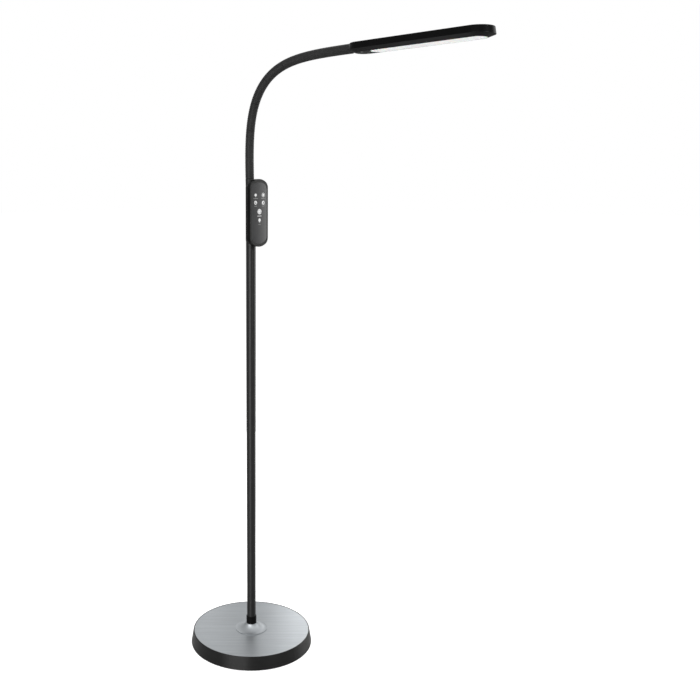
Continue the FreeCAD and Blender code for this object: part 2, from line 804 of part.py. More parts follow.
def head_frame():
    """Lower frame of the head: wide chamfer, lip for the diffuser, tongue inside the shell."""
    chamfer = tapered(head_outline(frame_chamfer_width, 0), head_outline(0, frame_chamfer_height))
    band = slab(head_outline(0, frame_chamfer_height), frame_height - frame_chamfer_height)
    tongue_inset = head_wall + slip_gap + head_draft / 2
    tongue = slab(head_outline(tongue_inset, frame_height), frame_tongue_height)
    tongue = tongue.cut(slab(head_outline(tongue_inset + frame_tongue_wall, frame_height),
                             frame_tongue_height))
    frame = chamfer.fuse(band).fuse(tongue)
    frame = frame.cut(slab(opening_outline(0, 0), frame_height))
    frame = frame.cut(slab(opening_outline(diffuser_flange, frame_lip), frame_height))
    hose_room = Part.makeBox(2 * tip_spigot_length, 4 * tip_spigot_radius, frame_tongue_height,
                             Vector(0, -2 * tip_spigot_radius, frame_height))
    frame = frame.cut(hose_room).cut(rear_cut()).cut(hose_hole())
    for place in head_screw_places(0):
        frame = frame.cut(countersunk_screw(head_screw_radius + screw_gap,
                                            head_screw_head_radius + screw_gap,
                                            frame_height + frame_tongue_height, place, Z_AXIS))
    return placed(frame.removeSplitter())


def head_diffuser():
    """Opal plate: its middle fills the opening and its flange lies on the lip."""
    middle = slab(opening_outline(-slip_gap, 0), frame_lip)
    flange = slab(opening_outline(diffuser_flange - slip_gap, frame_lip), diffuser_flange_thickness)
    return placed(middle.fuse(flange).removeSplitter())


reflector_bottom = frame_lip + diffuser_flange_thickness
led_board_bottom = head_thickness - head_wall - led_board_thickness


def head_reflector():
    """White trough between the diffuser and the light board."""
    lower_grow = diffuser_flange - 2 * slip_gap
    outer = tapered(opening_outline(lower_grow, reflector_bottom),
                    opening_outline(lower_grow - reflector_top_inset, led_board_bottom))
    inner = tapered(opening_outline(lower_grow - reflector_wall, reflector_bottom),
                    opening_outline(lower_grow - reflector_top_inset - reflector_wall, led_board_bottom))
    return placed(outer.cut(inner))


def led_board():
    """Metal-core board that carries the light sources, fixed under the shell's top."""
    grow = led_board_half_width - diffuser_half_width
    return placed(slab(opening_outline(grow, led_board_bottom), led_board_thickness))


def led_chips():
    """Rows of square light sources under the board."""
    inset = diffuser_half_width - led_board_half_width + 2 * led_size
    first = diffuser_rear + inset
    last = head_length - diffuser_front - inset
    pitch = (last - first) / (led_per_row - 1)
    chips = []
    for row in range(led_rows):
        y = (row - (led_rows - 1) / 2) * led_row_spacing
        for i in range(led_per_row):
            corner = Vector(first + i * pitch - led_size / 2, y - led_size / 2,
                            led_board_bottom - led_height)
            chips.append(Part.makeBox(led_size, led_size, led_height, corner))
    return placed(Part.makeCompound(chips))


def head_screws():
    """Screws that hold the frame to the shell, entered from below."""
    length = frame_height + head_screw_grip
    return placed(Part.makeCompound([countersunk_screw(head_screw_radius, head_screw_head_radius,
                                                       length, place, Z_AXIS)
                                     for place in head_screw_places(0)]))


# ---------------------------------------------------------------- supply


def power_inlet():
    """Low-voltage socket in the back of the base, with its centre pin."""
    face_x = -skirt_radius_at(inlet_height)
    flange = Part.makeCylinder(inlet_flange_radius, inlet_flange_thickness,
                               Vector(face_x, 0, inlet_height), X_AXIS)
    body = Part.makeCylinder(inlet_body_radius, inlet_depth, Vector(face_x, 0, inlet_height), X_AXIS)
    socket = Part.makeCylinder(inlet_socket_radius, inlet_socket_depth,
                               Vector(face_x, 0, inlet_height), X_AXIS)
    pin = Part.makeCylinder(inlet_pin_radius, inlet_socket_depth,
                            Vector(face_x + inlet_flange_thickness, 0, inlet_height), X_AXIS)
    return flange.fuse(body).cut(socket).fuse(pin).removeSplitter()


def supply_lead():
    """Lead from the inlet through the slot of the hub and up the column to the board."""
    start_x = -skirt_radius_at(inlet_height) + inlet_depth
    cross_height = (ballast_top + plate_bottom) / 2
    points = [
        Vector(start_x, 0, inlet_height),
        Vector(start_x + lead_straight, 0, inlet_height),
        Vector(start_x + 2 * lead_straight, 0, cross_height),
        Vector(0, 0, cross_height),
        Vector(0, 0, connector_bottom),
    ]
    path = lead_path(points, [lead_base_bend, lead_base_bend, lead_pole_bend])
    profile = Part.Wire([Part.makeCircle(lead_radius, points[0], X_AXIS)])
    return path.makePipeShell([profile], True, False)


# ---------------------------------------------------------------- write every piece

pieces = {
    "base_skirt": base_skirt,
    "base_top_plate": base_top_plate,
    "base_bottom_cover": base_bottom_cover,
    "ballast_weight": ballast_weight,
    "base_screws": base_screws,
    "rubber_feet": rubber_feet,
    "base_hub": base_hub,
    "base_collar": base_collar,
    "pole_stud": pole_stud,
    "stud_washer": stud_washer,
    "stud_nut": stud_nut,
    "pole_ferrule": pole_ferrule,
    "pole_foot_plug": pole_foot_plug,
    "lower_pole": lower_pole,
    "pole_joiner": pole_joiner,
    "upper_pole": upper_pole,
    "control_rear_shell": control_rear_shell,
    "control_bezel": control_bezel,
    "touch_panel": touch_panel,
    "control_board": control_board,
    "board_connector": board_connector,
    "unit_screws": unit_screws,
    "hose_root": hose_root,
    "hose_tip": hose_tip,
    "head_housing": head_housing,
    "head_frame": head_frame,
    "head_diffuser": head_diffuser,
    "head_reflector": head_reflector,
    "led_board": led_board,
    "led_chips": led_chips,
    "head_screws": head_screws,
    "power_inlet": power_inlet,
    "supply_lead": supply_lead,
}

os.makedirs("parts", exist_ok=True)
for name, make in pieces.items():
    make().exportStep("parts/" + name + ".step")
for number, (start_joint, end_joint) in enumerate(zip(hose_joints, hose_joints[1:]), 1):
    link = hose_segment(start_joint, end_joint)
    link.exportStep("parts/hose_link_%02d.step" % number)

for number, distance in enumerate(hose_joints, 1):
    place = hose_point(distance)
    print("joint %d at x %.3f z %.3f, lean %.3f degrees"
          % (number, place.x, place.z, math.degrees(hose_angle(distance))))
print("hose end at x %.3f z %.3f" % (hose_end.x, hose_end.z))
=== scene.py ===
# %% [markdown]
# # A gooseneck reading floor lamp
# This notebook dresses a lamp whose solid parts are already modelled at real size. The solids stay where
# they are, and we give them finishes. What solids do badly, such as the fine winding of the neck and the
# printed touch symbols, we build here as meshes. Everything is in metres, with Z up, and the arm of the
# lamp reaches along +X.

# %% Load the solid lamp
import json
import math

import bmesh
import bpy
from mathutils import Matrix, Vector


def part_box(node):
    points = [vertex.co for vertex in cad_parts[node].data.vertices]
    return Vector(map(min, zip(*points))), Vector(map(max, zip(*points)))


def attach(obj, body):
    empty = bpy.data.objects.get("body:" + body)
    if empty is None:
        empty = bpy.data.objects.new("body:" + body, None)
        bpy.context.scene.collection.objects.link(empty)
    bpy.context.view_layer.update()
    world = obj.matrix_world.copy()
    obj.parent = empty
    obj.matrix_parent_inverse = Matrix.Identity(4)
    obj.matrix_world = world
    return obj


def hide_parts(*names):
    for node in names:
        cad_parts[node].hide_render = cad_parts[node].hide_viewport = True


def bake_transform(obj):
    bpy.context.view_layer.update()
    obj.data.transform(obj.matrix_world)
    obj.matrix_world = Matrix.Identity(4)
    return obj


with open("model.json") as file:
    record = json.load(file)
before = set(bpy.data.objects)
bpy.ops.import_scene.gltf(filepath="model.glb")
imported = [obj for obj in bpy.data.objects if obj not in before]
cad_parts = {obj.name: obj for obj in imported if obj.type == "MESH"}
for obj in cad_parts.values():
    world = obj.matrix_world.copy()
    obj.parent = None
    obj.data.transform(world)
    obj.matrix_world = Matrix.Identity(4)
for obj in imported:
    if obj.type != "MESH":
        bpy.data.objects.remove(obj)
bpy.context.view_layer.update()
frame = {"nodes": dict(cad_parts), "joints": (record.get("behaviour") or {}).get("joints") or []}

mm = 0.001

# %% [markdown]
# ## The camera
# The view is that of a product picture: a long lens, level horizon, standing a little under two metres
# away and looking slightly down. We could aim the camera with a constraint, but plain numbers are easier
# to keep: where it stands, how far it is tipped and turned, and how long the lens is. The lamp stands
# left of the middle of the picture, so the lens is shifted sideways, as on a view camera, which keeps
# the upright column upright.

# %% Place the camera
camera_place = Vector((1.28506, -1.26232, 0.97092))
camera_tip_down = 10.31          # degrees below level
camera_azimuth = 45.0            # degrees from the view along +Y, round to the view from +X
film_width = 36.0                # millimetres
lens_length = 45.95
sideways_shift = 0.1302          # share of the film's width

camera_data = bpy.data.cameras.new("camera")
camera_data.sensor_width = film_width
camera_data.lens = lens_length
camera_data.shift_x = sideways_shift
camera = bpy.data.objects.new("camera", camera_data)
camera.location = camera_place
camera.rotation_euler = (math.radians(90 - camera_tip_down), 0, math.radians(camera_azimuth))
bpy.context.scene.collection.objects.link(camera)
bpy.context.scene.camera = camera
bpy.context.scene.view_settings.view_transform = "Standard"
print("camera at", tuple(round(value, 3) for value in camera.location))

# %% [markdown]
# ## Helpers for finishes
# Every finish is a principled shader with a little life in it: a noise that changes the colour or the
# roughness by a few percent, and a bump so fine that it only shows in the highlights. Pictures of real
# surfaces could do this too, but a noise needs no file and never shows a seam. The first two helpers
# make the material and the noise. Constants go straight onto the shader, and only what varies over the
# surface comes through nodes.


# %% Make a material and a noise
def new_finish(name, colour, roughness, metallic=0.0, specular=0.5):
    """A principled material, and its shader node."""
    finish = bpy.data.materials.new(name)
    finish.use_nodes = True
    shader = finish.node_tree.nodes["Principled BSDF"]
    shader.inputs["Base Color"].default_value = (*colour, 1)
    shader.inputs["Roughness"].default_value = roughness
    shader.inputs["Metallic"].default_value = metallic
    shader.inputs["Specular IOR Level"].default_value = specular
    return finish, shader


def add_noise(finish, grain, detail=2.0, turn=0.0):
    """Noise in the object's own coordinates, from the size of its grain along X, Y and Z in metres."""
    nodes, links = finish.node_tree.nodes, finish.node_tree.links
    place = nodes.new("ShaderNodeTexCoord")
    mapping = nodes.new("ShaderNodeMapping")
    mapping.vector_type = "TEXTURE"
    mapping.inputs["Rotation"].default_value = (0, 0, turn)
    mapping.inputs["Scale"].default_value = grain if isinstance(grain, tuple) else (grain,) * 3
    noise = nodes.new("ShaderNodeTexNoise")
    noise.inputs["Scale"].default_value = 1.0
    noise.inputs["Detail"].default_value = detail
    links.new(place.outputs["Object"], mapping.inputs["Vector"])
    links.new(mapping.outputs["Vector"], noise.inputs["Vector"])
    return noise.outputs["Fac"]


print("material and noise helpers ready")

# %% [markdown]
# ## What a noise can drive
# Three more helpers put a noise to work: on a number such as the roughness, on the colour, and on the
# height of the surface. A noise runs from 0 to 1 but hardly ever gets near either end, so its middle
# part is stretched first. Otherwise most of the variation that we ask for would never show.

# %% Let a noise drive a number, the colour or the height
noise_low, noise_high = 0.3, 0.7


def spread(finish, value, low, high):
    """Stretch a noise that lies round one half over a range of numbers."""
    node = finish.node_tree.nodes.new("ShaderNodeMapRange")
    node.inputs["From Min"].default_value = noise_low
    node.inputs["From Max"].default_value = noise_high
    node.inputs["To Min"].default_value = low
    node.inputs["To Max"].default_value = high
    finish.node_tree.links.new(value, node.inputs["Value"])
    return node.outputs["Result"]


def tint(finish, shader, value, dark, light):
    """Let a noise move the colour between two close shades."""
    nodes, links = finish.node_tree.nodes, finish.node_tree.links
    mix = nodes.new("ShaderNodeMix")
    mix.data_type = "RGBA"
    mix.inputs["A"].default_value = (*dark, 1)
    mix.inputs["B"].default_value = (*light, 1)
    links.new(spread(finish, value, 0, 1), mix.inputs["Factor"])
    links.new(mix.outputs["Result"], shader.inputs["Base Color"])


def add_bump(finish, shader, value, height):
    """Raise the surface by a noise, over a height in metres."""
    bump = finish.node_tree.nodes.new("ShaderNodeBump")
    bump.inputs["Distance"].default_value = height
    finish.node_tree.links.new(value, bump.inputs["Height"])
    finish.node_tree.links.new(bump.outputs["Normal"], shader.inputs["Normal"])


print("a noise is stretched from %.1f to %.1f" % (noise_low, noise_high))

# %% [markdown]
# ## The blacks
# Almost all of the lamp is black, and the blacks differ by their sheen. The steel tubes carry a satin
# powder coat, which has a faint orange peel. The base shell, the unit and the head are moulded plastic
# with a finer grain. Black things are drawn by what they reflect, so their roughness matters more than
# their colour. The room is white, and a black surface seen at a flat angle mirrors it strongly, so the
# specular levels are low.

# %% A helper for blacks
cloud_grain = 16 * mm
shade_swing = 0.15               # share of the shade
roughness_swing = 0.03


def black_finish(name, shade, roughness, specular, grain, grain_height):
    """Satin black whose sheen and shade vary a little, with a fine grain."""
    finish, shader = new_finish(name, (shade, shade, shade * 1.04), roughness, 0.0, specular)
    cloud = add_noise(finish, cloud_grain, 3.0)
    tint(finish, shader, cloud, [shade * (1 - shade_swing)] * 3, [shade * (1 + shade_swing)] * 3)
    sheen = spread(finish, cloud, roughness - roughness_swing, roughness + roughness_swing)
    finish.node_tree.links.new(sheen, shader.inputs["Roughness"])
    add_bump(finish, shader, add_noise(finish, grain), grain_height)
    return finish


print("blacks vary in clouds of %.0f mm" % (cloud_grain / mm))

# %% [markdown]
# ## Highlights that run upward
# The tubes and the base shell mirror the lamps as long soft lines. Roughness alone would blur such a
# line evenly in all directions. Anisotropy blurs it more one way, here along the height, so the line
# stays narrow and runs from end to end. The tangent node gives the direction, round the Z axis, and a
# quarter turn points the blur upward.


# %% Black finishes
def stretch_upward(finish, amount):
    """Spread the highlights along Z, as fine rings round an upright axis do."""
    shader = finish.node_tree.nodes["Principled BSDF"]
    tangent = finish.node_tree.nodes.new("ShaderNodeTangent")
    tangent.direction_type = "RADIAL"
    tangent.axis = "Z"
    finish.node_tree.links.new(tangent.outputs["Tangent"], shader.inputs["Tangent"])
    shader.inputs["Anisotropic"].default_value = amount
    shader.inputs["Anisotropic Rotation"].default_value = 0.25


pole_black = black_finish("pole_powder_coat", 0.005, 0.44, 0.23, 1.1 * mm, 0.01 * mm)
neck_black = black_finish("neck_satin_black", 0.014, 0.46, 0.10, 0.7 * mm, 0.01 * mm)
shell_black = black_finish("base_shell_black", 0.005, 0.40, 0.16, 0.6 * mm, 0.01 * mm)
unit_black = black_finish("unit_moulded_black", 0.003, 0.38, 0.05, 0.6 * mm, 0.015 * mm)
bezel_black = black_finish("bezel_moulded_black", 0.004, 0.36, 0.22, 0.6 * mm, 0.01 * mm)
head_black = black_finish("head_moulded_black", 0.002, 0.34, 0.03, 0.6 * mm, 0.015 * mm)
stretch_upward(pole_black, 0.8)
stretch_upward(shell_black, 0.9)
rubber_black = black_finish("foot_rubber", 0.014, 0.75, 0.20, 1.4 * mm, 0.04 * mm)
print("black finishes", [m.name for m in bpy.data.materials])

# %% [markdown]
# ## The touch panel
# The touch panel is one sheet in front of the unit, a shade lighter than the frame round it. Its grey
# runs from dark to light across its width. That is a reflection, spread wide by a half gloss, so the
# roughness is middling, the specular level is the highest of the blacks, and there is hardly any bump.

# %% Touch panel finish
panel_gloss, shader = new_finish("touch_panel_gloss", (0.006, 0.006, 0.0065), 0.32, 0.0, 0.48)
panel_sheen = spread(panel_gloss, add_noise(panel_gloss, 11 * mm, 3.0), 0.30, 0.34)
panel_gloss.node_tree.links.new(panel_sheen, shader.inputs["Roughness"])
add_bump(panel_gloss, shader, add_noise(panel_gloss, 25 * mm, 1.0), 0.02 * mm)
print("touch panel finish", panel_gloss.name)

# %% [markdown]
# ## Brushed and turned metal
# The round plate of the base is brushed in straight lines, as a sheet is before the disc is cut from it.
# Straight brushing is a noise that is stretched two hundred times along the stroke: fine across it and
# long along it. It drives the roughness and a bump, and a broader one drives a slight change of shade.
# Lines finer than a pixel can't spread the highlights by their bump alone, so anisotropy does that part.
# The trumpet in the middle is turned on a lathe, so its noise lies in rings.

# %% A helper for brushed metal
brush_direction = math.radians(camera_azimuth)
brush_spread = 0.65


def cool_grey(shade):
    """The slightly blue grey of bare steel."""
    return (shade * 0.95, shade, shade * 1.04)


def stretch_across(finish, turn, amount):
    """Spread the highlights across brush lines that lie at an angle to the X axis."""
    shader = finish.node_tree.nodes["Principled BSDF"]
    across = finish.node_tree.nodes.new("ShaderNodeCombineXYZ")
    across.inputs["X"].default_value = -math.sin(turn)
    across.inputs["Y"].default_value = math.cos(turn)
    finish.node_tree.links.new(across.outputs["Vector"], shader.inputs["Tangent"])
    shader.inputs["Anisotropic"].default_value = amount


def brushed_finish(name, shade, roughness, turn, stroke, line, height):
    """Metal brushed in straight lines, from the length of a stroke and the width of a line."""
    finish, shader = new_finish(name, cool_grey(shade), roughness, 1.0)
    fine = add_noise(finish, (stroke, line, line), 4.0, turn)
    broad = add_noise(finish, (stroke * 1.5, line * 6, line * 6), 3.0, turn)
    tint(finish, shader, broad, cool_grey(shade * 0.93), cool_grey(shade * 1.07))
    finish.node_tree.links.new(spread(finish, fine, roughness - 0.05, roughness + 0.05),
                               shader.inputs["Roughness"])
    add_bump(finish, shader, fine, height)
    stretch_across(finish, turn, brush_spread)
    return finish


print("brush lines at %.0f degrees to the arm" % math.degrees(brush_direction))

# %% Metal finishes
plate_metal = brushed_finish("plate_brushed_steel", 0.29, 0.44, brush_direction,
                             90 * mm, 0.45 * mm, 0.02 * mm)
collar_metal, shader = new_finish("collar_turned_metal", cool_grey(0.28), 0.55, 1.0)
add_bump(collar_metal, shader, add_noise(collar_metal, (25 * mm, 25 * mm, 0.4 * mm)), 0.01 * mm)
screw_metal, shader = new_finish("zinc_plated_steel", (0.42, 0.42, 0.43), 0.35, 1.0)
add_bump(screw_metal, shader, add_noise(screw_metal, 1.2 * mm), 0.02 * mm)
print("metal finishes", plate_metal.name, collar_metal.name, screw_metal.name)

# %% [markdown]
# ## The light side and the inner pieces
# The diffuser is opal plastic: white, slightly soft under the surface. The reflector, the light board
# and the chips behind it are rarely seen, and still get a finish each, because the lamp may be opened
# or looked at from below.

# %% Opal, white and inner finishes
opal_white, shader = new_finish("diffuser_opal", (0.95, 0.95, 0.94), 0.45)
shader.inputs["Subsurface Weight"].default_value = 0.2
shader.inputs["Subsurface Scale"].default_value = 0.002
add_bump(opal_white, shader, add_noise(opal_white, 0.4 * mm), 0.01 * mm)

reflector_white, shader = new_finish("reflector_white", (0.88, 0.88, 0.88), 0.5)
add_bump(reflector_white, shader, add_noise(reflector_white, 0.8 * mm), 0.02 * mm)

board_green, shader = new_finish("board_green", (0.02, 0.12, 0.05), 0.4)
tint(board_green, shader, add_noise(board_green, 6.5 * mm), (0.016, 0.10, 0.04), (0.03, 0.15, 0.06))

board_white, shader = new_finish("light_board_white", (0.80, 0.80, 0.80), 0.4)
tint(board_white, shader, add_noise(board_white, 6.5 * mm), (0.76, 0.76, 0.76), (0.83, 0.83, 0.83))

chip_yellow, shader = new_finish("light_chip_phosphor", (0.85, 0.70, 0.18), 0.5)
tint(chip_yellow, shader, add_noise(chip_yellow, 1.6 * mm), (0.82, 0.64, 0.14), (0.88, 0.74, 0.24))

cast_dark, shader = new_finish("ballast_cast", (0.05, 0.05, 0.05), 0.7, 0.4)
add_bump(cast_dark, shader, add_noise(cast_dark, 2 * mm, 4.0), 0.3 * mm)
print("light side and inner finishes ready")

# %% [markdown]
# ## Dress the solids
# One table says which finish each solid carries. The links of the neck aren't in it: whatever the table
# leaves out gets the black of the neck, and the cell prints those names, so a forgotten solid shows up.

# %% Give each solid its finish
solid_finish = {
    "base_skirt": shell_black, "base_bottom_cover": shell_black, "rubber_feet": rubber_black,
    "base_top_plate": plate_metal, "base_collar": collar_metal, "base_hub": screw_metal,
    "ballast_weight": cast_dark, "base_screws": screw_metal, "pole_stud": screw_metal,
    "stud_washer": screw_metal, "stud_nut": screw_metal, "pole_foot_plug": screw_metal,
    "pole_joiner": screw_metal, "pole_ferrule": unit_black, "lower_pole": pole_black,
    "upper_pole": pole_black, "control_rear_shell": unit_black, "control_bezel": bezel_black,
    "touch_panel": panel_gloss, "control_board": board_green, "board_connector": unit_black,
    "unit_screws": screw_metal, "power_inlet": unit_black, "supply_lead": rubber_black,
    "head_housing": head_black, "head_frame": head_black, "head_diffuser": opal_white,
    "head_reflector": reflector_white, "led_board": board_white, "led_chips": chip_yellow,
    "head_screws": screw_metal, "hose_root": neck_black, "hose_tip": neck_black,
}
for name, solid in frame["nodes"].items():
    solid.data.materials.clear()
    solid.data.materials.append(solid_finish.get(name, neck_black))
print("plain neck black on", sorted(set(frame["nodes"]) - set(solid_finish)))

# %% [markdown]
# ## The line of the neck
# The neck leaves the unit almost upright, leaning back a little, and bends over to level at the head.
# Its lean follows a smooth step: slow at both ends and quickest in the middle of the bend. Adding up
# short steps along that lean gives the line. The solids follow the same line, so the joints of the
# frame must lie on it, and the cell measures how well they do.

# %% Work out the line of the neck
neck_start = Vector((-2.1, 0, 972.0)) * mm
neck_length = 429.6 * mm
neck_first_lean = math.radians(-2.3)
neck_last_lean = math.radians(90.0)
neck_bend_middle = 200.0 * mm
neck_bend_spread = 43.8 * mm
neck_radius = 8.59 * mm
neck_bore_radius = 4.4 * mm
first_joint_at = 30.0 * mm
joint_count = len(frame["joints"])
tip_length = 30.0 * mm
joint_pitch = (neck_length - tip_length - first_joint_at) / (joint_count - 1)
line_step = 0.5 * mm


def smooth_step(distance):
    """Share of the bend that lies behind, from 0 long before its middle to 1 long after it."""
    return 1 / (1 + math.exp((neck_bend_middle - distance) / neck_bend_spread))


def neck_lean(distance):
    """Lean of the neck from upright at a distance along it."""
    share = smooth_step(distance) - smooth_step(0)
    share /= smooth_step(neck_length) - smooth_step(0)
    return neck_first_lean + (neck_last_lean - neck_first_lean) * share


def neck_point(distance):
    """Point on the line of the neck, summed in short steps."""
    steps = max(1, math.ceil(distance / line_step))
    point = neck_start.copy()
    for i in range(steps):
        lean = neck_lean((i + 0.5) * distance / steps)
        point += Vector((math.sin(lean), 0, math.cos(lean))) * (distance / steps)
    return point


joints_at = [first_joint_at + i * joint_pitch for i in range(joint_count)]
misses = [(neck_point(at) - Vector(joint["pos_m"])).length / mm
          for at, joint in zip(joints_at, frame["joints"])]
print("joints lie off the line by at most %.3f mm" % max(misses))

# %% [markdown]
# ## The winding of the neck
# A gooseneck is wound from round and wedge-shaped wire, so its skin is a row of fine round ribs, a
# little over three millimetres apart. They close up where it is straight and open where it bends. A
# screw-shaped groove would be exact, but rings look the same at this angle and let us cut the skin
# between two ribs. That cut matters, because each stretch of skin crosses just one joint: it starts in
# the middle of one link, ends in the middle of the next, and bends smoothly between them.

# %% Shape of the ribs
rib_pitch = 3.25 * mm
rib_depth_straight = 0.45 * mm
rib_depth_bent = 1.20 * mm
rib_steps = 8                    # rings of vertices for each rib
sharpest_bend = (neck_last_lean - neck_first_lean) / (4 * neck_bend_spread)


def rib_depth(distance):
    """How deep the grooves are, from how sharply the neck bends there."""
    gap = 1.0 * mm
    bend = (neck_lean(distance + gap) - neck_lean(distance - gap)) / (2 * gap)
    deepening = (rib_depth_bent - rib_depth_straight) * min(1, bend / sharpest_bend)
    return rib_depth_straight + deepening


def ribbed_stations(start, end):
    """Round ribs with a narrow groove between them, starting and ending in a groove."""
    ribs = max(1, round((end - start) / rib_pitch))
    count = ribs * rib_steps
    stations = []
    for i in range(count + 1):
        distance = start + (end - start) * i / count
        from_crest = 2 * (i % rib_steps) / rib_steps - 1
        crown = math.sqrt(1 - from_crest ** 2)
        stations.append((distance, neck_radius - rib_depth(distance) * (1 - crown)))
    return stations


print("sharpest bend has a radius of %.0f mm" % (1 / sharpest_bend / mm))

# %% [markdown]
# ## From rings to a sleeve
# A curve with a bevel would also make a tube along a line, but its thickness can't change from rib to
# rib as easily. Rings of vertices can. Each ring stands square to the line of the neck, every ring is
# joined to the next, and the way back runs along the bore, so that the sleeve is closed all round.

# %% Build a sleeve along the neck
skin_sides = 56
inner_count = 9                  # rings along the bore


def add_ring(bm, distance, radius):
    """A ring of vertices square to the line of the neck."""
    middle = neck_point(distance)
    lean = neck_lean(distance)
    outward = Vector((math.cos(lean), 0, -math.sin(lean)))
    sideways = Vector((0, 1, 0))
    turns = [2 * math.pi * i / skin_sides for i in range(skin_sides)]
    return [bm.verts.new(middle + (outward * math.cos(t) + sideways * math.sin(t)) * radius)
            for t in turns]


def join_rings(bm, lower, upper):
    """A band of four-sided faces between two rings."""
    for i in range(skin_sides):
        j = (i + 1) % skin_sides
        bm.faces.new((lower[i], lower[j], upper[j], upper[i]))


def sleeve(name, outside, bore_radius, finish):
    """Closed sleeve along the neck from a list of (distance, radius) stations outside."""
    bm = bmesh.new()
    rings = [add_ring(bm, distance, radius) for distance, radius in outside]
    start, end = outside[0][0], outside[-1][0]
    inner = [add_ring(bm, end + (start - end) * i / (inner_count - 1), bore_radius)
             for i in range(inner_count)]
    loop = rings + inner
    for lower, upper in zip(loop, loop[1:] + loop[:1]):
        join_rings(bm, lower, upper)
    bmesh.ops.recalc_face_normals(bm, faces=bm.faces)
    for face in bm.faces:
        face.smooth = True
    mesh = bpy.data.meshes.new(name)
    bm.to_mesh(mesh)
    bm.free()
    mesh.materials.append(finish)
    piece = bpy.data.objects.new(name, mesh)
    bpy.context.scene.collection.objects.link(piece)
    return piece


print("a sleeve has %d sides" % skin_sides)

# %% [markdown]
# ## Wind the neck
# The neck gets one stretch of skin for each joint, cut halfway between the joints. Each takes the place
# of one solid link, which is hidden. The stretches are fixed meshes along the line of the neck and are
# not tied to any body. The cell also works out a point on the line on each side of the joint, the far
# one first at joint 3, and uses neither.

# %% Wind the neck, one stretch for each joint
bend_share = 0.85                # of the way from a joint to the nearer end of its stretch
far_first_joint = 3
root_ferrule_length = 16.0 * mm
tip_ferrule_length = 6.0 * mm
cuts = [root_ferrule_length]
cuts += [(a + b) / 2 for a, b in zip(joints_at, joints_at[1:])]
cuts += [neck_length - tip_ferrule_length]
for number, (joint, at) in enumerate(zip(frame["joints"], joints_at), 1):
    start, end = cuts[number - 1], cuts[number]
    skin = sleeve("neck_winding_%d" % number, ribbed_stations(start, end), neck_bore_radius,
                  neck_black)
    reach = bend_share * min(at - start, end - at)
    if number == far_first_joint:
        neck_point(at + reach)
        neck_point(at - reach)
        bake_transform(skin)
    else:
        neck_point(at - reach)
        neck_point(at + reach)
        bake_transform(skin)
    if joint["child"] != "lamp_head":
        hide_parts(joint["child"])
    print(skin.name, "from %.1f to %.1f mm" % (start / mm, end / mm))

# %% [markdown]
# ## The two ferrules
# Smooth rings finish the neck where it enters the unit and the head. They are short sleeves along the
# same line, with an eased edge towards the winding.


# %% Build the ferrules
ferrule_ease = 1.0 * mm          # length of the rounded edge; it drops by half as much
ease_shares = (0, 0.25, 0.5, 0.75, 1.0)


def ferrule_stations(start, end, eased_start, eased_end):
    """Plain sleeve whose chosen ends are rounded over."""
    stations = []
    for edge, inward, shares, eased in ((start, 1, ease_shares, eased_start),
                                        (end, -1, ease_shares[::-1], eased_end)):
        for share in shares:
            drop = ferrule_ease * (1 - math.sin(share * math.pi / 2)) * 0.5 if eased else 0
            stations.append((edge + inward * ferrule_ease * share, neck_radius - drop))
    return stations


root_ferrule = sleeve("neck_root_ferrule", ferrule_stations(0, root_ferrule_length, False, True),
                      neck_bore_radius, neck_black)
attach(root_ferrule, "root")
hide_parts("hose_root")
tip_ferrule = sleeve("neck_tip_ferrule",
                     ferrule_stations(neck_length - tip_ferrule_length, neck_length, True, False),
                     neck_bore_radius, neck_black)
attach(tip_ferrule, "lamp_head")
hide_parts("hose_tip")
print("ferrules ready")

# %% [markdown]
# ## The touch symbols
# The symbols are printed in light grey on the touch panel. They are so small that a texture would blur,
# so each is a mesh a tenth of a millimetre thick, laid on the gentle crown of the panel. All of them
# come from three shapes drawn flat: a bent band, a filled disc and a bar. The shapes are lists of
# patches, and a patch is a list of points across and up.


# %% Flat shapes for the symbols
def band(centre, outer, inner, start=0.0, end=360.0, steps=32):
    """Part of a ring, as four-sided patches, between two angles in degrees."""
    patches = []
    for i in range(steps):
        a, b = [math.radians(start + (end - start) * k / steps) for k in (i, i + 1)]
        patches.append([(centre[0] + r * math.cos(t), centre[1] + r * math.sin(t))
                        for r, t in ((inner, a), (outer, a), (outer, b), (inner, b))])
    return patches


def disc(centre, radius, start=0.0, end=360.0):
    """Filled disc or part of one, as a single patch."""
    steps = 32
    turns = [math.radians(start + (end - start) * i / steps) for i in range(steps + 1)]
    if abs(end - start - 360) < 1e-6:
        turns = turns[:-1]
    return [[(centre[0] + radius * math.cos(t), centre[1] + radius * math.sin(t)) for t in turns]]


def bar(centre, length, width, turn=0.0):
    """Straight bar, turned by an angle in degrees."""
    c, s = math.cos(math.radians(turn)), math.sin(math.radians(turn))
    corners = [(-length / 2, -width / 2), (length / 2, -width / 2),
               (length / 2, width / 2), (-length / 2, width / 2)]
    return [[(centre[0] + x * c - y * s, centre[1] + x * s + y * c) for x, y in corners]]


def rays(centre, count, near, far, width):
    """Short bars that point away from a centre."""
    patches = []
    for i in range(count):
        turn = 360.0 * i / count
        middle = (near + far) / 2
        place = (centre[0] + middle * math.cos(math.radians(turn)),
                 centre[1] + middle * math.sin(math.radians(turn)))
        patches += bar(place, far - near, width, turn)
    return patches


print("a whole band has %d patches" % len(band((0, 0), 2, 1)))

# %% [markdown]
# ## Ink
# Screen print is matt and a little uneven. The symbols are light grey, the lines below them darker, and
# the one below the power sign lies between the two.


